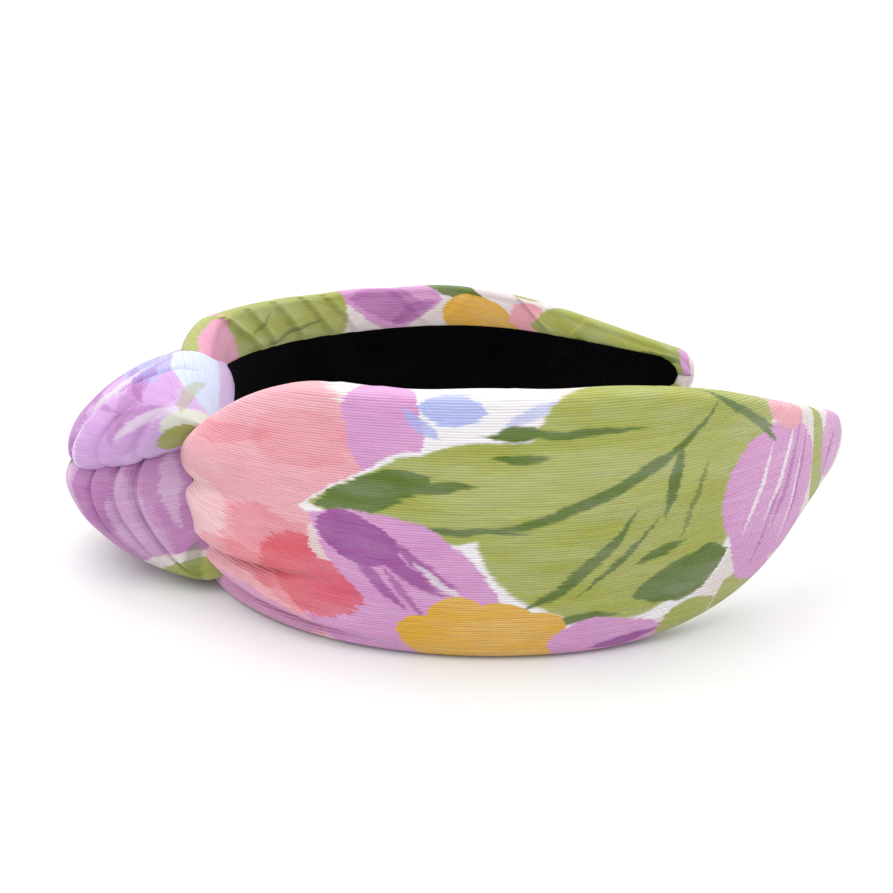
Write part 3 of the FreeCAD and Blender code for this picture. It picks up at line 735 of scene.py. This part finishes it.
# The hems on the face that lies over the lining.
HEM_PRINT = (
    ("blot", 12, -30, 30, 44, 0, 0, OLIVE, 0.2),
    ("blot", 52, -34, 54, 33, 0, 0, OLIVE, 0.2),
    # A pink leaf of the print, drawn in SHADED_PINK: painted shade.
    ("leaf", 22, -33, 38, 12, -51, 0, SHADED_PINK, 0),
    ("leaf", 57, -37, 24, 1.6, 12, 0.4, (LEAF, 0.8), 0.5),
    ("leaf", 45, -33, 12, 1.4, 20, 0, (LEAF, 0.6), 0.8),
    ("leaf", 94, -30, 34, 20, -6, 0, LILAC, 0.3),
    ("leaf", 93, -32, 26, 10, -8, 0, (PURPLE, 0.55), 1.0),
    ("leaf", 101, -35, 16, 5, 20, 0, (PURPLE, 0.6), 1.2),
    ("leaf", 115, -28, 18, 6, -6, 0, LEAF, 0.5),
    ("blot", 123, -36, 25, 15, 0, 0, YELLOW, 0.2),
    ("leaf", 139, -29, 16, 10, 30, 0, PINK, 0.3),
    ("blot", 153, -29, 22, 6, 0, 0, LILAC, 0.3),
    ("leaf", 168, -21, 62, 24, 18, 0, OLIVE, 0.2),
    ("leaf", 154, -27, 20, 2.4, 22, 0.4, LEAF, 1.0),
    ("leaf", 170, -21, 18, 2.4, 12, 0, LEAF, 1.0),
    ("leaf", 180, -16, 16, 2.4, 24, 0, LEAF, 1.0),
    ("blot", 188, -11, 5, 9, 18, 0, LILAC, 0.2),
)

# The hem along the other edge.
OTHER_HEM_PRINT = (
    ("blot", 24, 39, 30, 18, 0, 0, PINK, 0.3),
    ("blot", 62, 40, 44, 19, 0, 0, LILAC, 0.3),
    ("leaf", 60, 38, 26, 7, 8, 0, (PURPLE, 0.6), 0.9),
    ("blot", 106, 40, 36, 20, 0, 0, OLIVE, 0.2),
    ("leaf", 104, 37, 24, 2, 10, 0.4, LEAF, 0.6),
    ("blot", 134, 34, 20, 12, -14, 0, YELLOW, 0.2),
    ("leaf", 160, 27, 34, 11, -20, 0, LILAC, 0.3),
    ("leaf", 179, 17, 18, 8, -28, 0, OLIVE, 0.3),
)

OVER_PRINT = (
    ("leaf", -12, 24, 60, 26, 84, 0.1, (srgb(206, 156, 216), 0.95), 0.4),
    ("blot", 2, 38, 34, 13, -8, 0, (BLUE, 0.75), 0.9),
    ("blot", -8, 50, 36, 12, 0, 0, PALE_BLUE, 0.7),
    ("blot", -28, 37, 9, 30, 0, 0, (PALE_GREEN, 0.9), 0.5),
    ("blot", -28.3, 21, 4.5, 21, 0, 0, OLIVE, 0.4),
    ("leaf", -6, 18, 34, 7, 78, -0.4, (PURPLE, 0.6), 0.9),
    ("leaf", -15, 33, 26, 4, 60, 1.0, (PURPLE, 0.4), 1.1),
    ("leaf", -19, 26, 20, 4, 96, -0.9, (PURPLE, 0.4), 1.1),
    ("leaf", -11, 36, 16, 3, 10, 1.6, (PURPLE, 0.45), 0.8),
    ("leaf", -9, 26, 16, 3, 6, -1.6, (PURPLE, 0.45), 0.8),
    ("leaf", -11, 22, 38, 2.4, 82, 0.2, (WHITE, 0.6), 1.0),
    ("leaf", -22, 30, 26, 2.6, 98, 0, (WHITE, 0.5), 1.0),
    ("leaf", -20, 44, 18, 2.6, 60, 0, (OLIVE, 0.5), 1.0),
)

UNDER_PRINT = (
    ("leaf", -17, 12, 30, 13, 88, 0, (PURPLE, 0.45), 0.9),
    ("leaf", -8, 24, 50, 9, 86, 0, (PALE_LILAC, 0.5), 1.0),
    ("leaf", -22, 26, 40, 7, 92, 0, (PALE_LILAC, 0.35), 1.0),
    ("leaf", -27.6, 15, 2.6, 22, 0, 0, (PALE_LILAC, 0.5), 0.6),
    ("blot", -23, 45, 22, 24, 10, 0, (CREAM, 0.9), 0.4),
    ("blot", -24, 46, 20, 19, 10, 0, OLIVE, 0.3),
    ("leaf", -26, 38, 14, 3, 70, 0, (LEAF, 0.5), 0.6),
    ("blot", -3, 8, 9, 8, 0, 0, (LEAF, 0.8), 0.5),
    ("blot", 14, 30, 18, 26, 0, 0, (PINK, 0.8), 0.6),
)


def turned_marks(marks, further):
    """The same marks on the other edge, moved further round it."""
    return tuple((kind, x, further - y, length, width, -angle, -bend, colour, dry)
                 for kind, x, y, length, width, angle, bend, colour, dry in marks)


right_material = cloth_material("printed cloth, right arm", CREAM,
                                ARM_PRINT + turned_marks(HEM_PRINT, 9)
                                + turned_marks(OTHER_HEM_PRINT, 0))
left_material = cloth_material("printed cloth, left arm", CREAM,
                               ARM_PRINT + HEM_PRINT + OTHER_HEM_PRINT)
over_material = cloth_material("printed cloth, over wrap", srgb(212, 176, 228), OVER_PRINT)
under_material = cloth_material("printed cloth, under wrap", srgb(186, 126, 180), UNDER_PRINT)
velvet_look = velvet_material()

for piece, look in ((right_cloth, right_material), (left_cloth, left_material),
                    (knot_over, over_material), (knot_under, under_material),
                    (right_velvet, velvet_look), (left_velvet, velvet_look)):
    piece.data.materials.append(look)


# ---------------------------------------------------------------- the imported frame's nodes

def finish_node(node, look):
    """Give a CAD node a material in place of its own."""
    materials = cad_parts[node].data.materials
    materials.clear()
    materials.append(look)


plastic_look = plain_material("hoop plastic", srgb(214, 211, 202), srgb(226, 224, 216), 300.0,
                              0.45, 0.00002)
foam_look = plain_material("foam", srgb(222, 218, 204), srgb(240, 238, 228), 1500.0, 0.9,
                           0.0002)
thread_look = plain_material("thread", srgb(196, 160, 176), srgb(224, 196, 206), 2500.0, 0.7,
                             0.00005)
for side in ("right", "left"):
    finish_node(f"{side}_hoop", plastic_look)
    finish_node(f"{side}_foam", foam_look)
finish_node("hoop_crown", plastic_look)
finish_node("foam_crown", foam_look)
finish_node("lining_crown", velvet_look)
finish_node("knot_tacks", thread_look)


# ---------------------------------------------------------------- bodies, and the frame's nodes that the new pieces replace


for side, left, cloth, lining in (("right", False, right_cloth, right_velvet),
                                  ("left", True, left_cloth, left_velvet)):
    for piece in (cloth, lining):
        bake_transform(piece)
    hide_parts(f"{side}_cover", f"{side}_tip_fold")
    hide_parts(f"{side}_lining")

for piece, node in ((knot_over, "knot_over_wrap"), (knot_under, "knot_under_wrap")):
    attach(piece, "crown")
    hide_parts(node)


# ---------------------------------------------------------------- floor, light and camera

FLOOR_SIZE = 60
SKY_LOW, SKY_HIGH = (0.2, 1.02), (0.8, 2.0)     # the light's strength at two heights


def stage():
    """The pale floor, and a studio sky that is brighter overhead."""
    bpy.ops.mesh.primitive_plane_add(size=FLOOR_SIZE, location=(0, 0, 0))
    floor = bpy.context.object
    floor.name = "floor"
    shader = Shader("pale floor")
    grain = shader.noise(shader.add("ShaderNodeTexCoord").outputs["Object"], 40.0)[0]
    shader.wire(shader.mix(grain, srgb(206, 206, 206), srgb(212, 212, 212)),
                shader.surface.inputs["Base Color"])
    shader.surface.inputs["Roughness"].default_value = 0.8
    floor.data.materials.append(shader.material)

    world = bpy.data.worlds.new("studio")
    world.use_nodes = True
    sky = world.node_tree
    height = sky.nodes.new("ShaderNodeSeparateXYZ")
    sky.links.new(sky.nodes.new("ShaderNodeTexCoord").outputs["Generated"], height.inputs[0])
    rise = sky.nodes.new("ShaderNodeMapRange")
    rise.interpolation_type = "SMOOTHSTEP"
    for end, (at, strength) in (("Min", SKY_LOW), ("Max", SKY_HIGH)):
        rise.inputs[f"From {end}"].default_value = at
        rise.inputs[f"To {end}"].default_value = strength
    sky.links.new(height.outputs[2], rise.inputs["Value"])
    sky.nodes["Background"].inputs[0].default_value = (1, 1, 1, 1)
    sky.links.new(rise.outputs[0], sky.nodes["Background"].inputs[1])
    bpy.context.scene.world = world


def soft_sun(name, direction, spread, strength):
    """A sun towards a direction, spread over an angle in degrees."""
    data = bpy.data.lights.new(name, "SUN")
    data.angle = math.radians(spread)
    data.energy = strength
    light = bpy.data.objects.new(name, data)
    light.rotation_euler = (-Vector(direction)).to_track_quat("-Z", "Y").to_euler()
    bpy.context.scene.collection.objects.link(light)


CAMERA_LENS, SENSOR_WIDTH, CLIP_START = 36.37, 36.0, 0.01
CAMERA_PLACE = (-0.04425, -0.20927, 0.06058 + MID * MM)
CAMERA_YAW, CAMERA_PITCH, CAMERA_ROLL = 12.23, 17.33, -0.58     # degrees


def camera():
    """The camera, looking along +Y, turned by its yaw, tipped down and rolled."""
    data = bpy.data.cameras.new("camera")
    data.lens = CAMERA_LENS
    data.sensor_width = SENSOR_WIDTH
    data.clip_start = CLIP_START
    eye = bpy.data.objects.new("camera", data)
    yaw, pitch, roll = (math.radians(turn) for turn in (CAMERA_YAW, CAMERA_PITCH, CAMERA_ROLL))
    eye.rotation_mode = "QUATERNION"
    forward = Vector((math.sin(yaw) * math.cos(pitch), math.cos(yaw) * math.cos(pitch),
                      -math.sin(pitch)))
    right = Vector((math.cos(yaw), -math.sin(yaw), 0))
    up = right.cross(forward)
    right_rolled = right * math.cos(roll) + up * math.sin(roll)
    up_rolled = up * math.cos(roll) - right * math.sin(roll)
    turned = Matrix((right_rolled, up_rolled, -forward)).transposed()
    eye.rotation_quaternion = turned.to_quaternion()
    eye.location = CAMERA_PLACE
    bpy.context.scene.collection.objects.link(eye)
    bpy.context.scene.camera = eye


stage()
soft_sun("overhead light", (-0.3, 0.3, 1.0), 60, 0.9)
camera()
bpy.context.scene.view_settings.view_transform = "Standard"
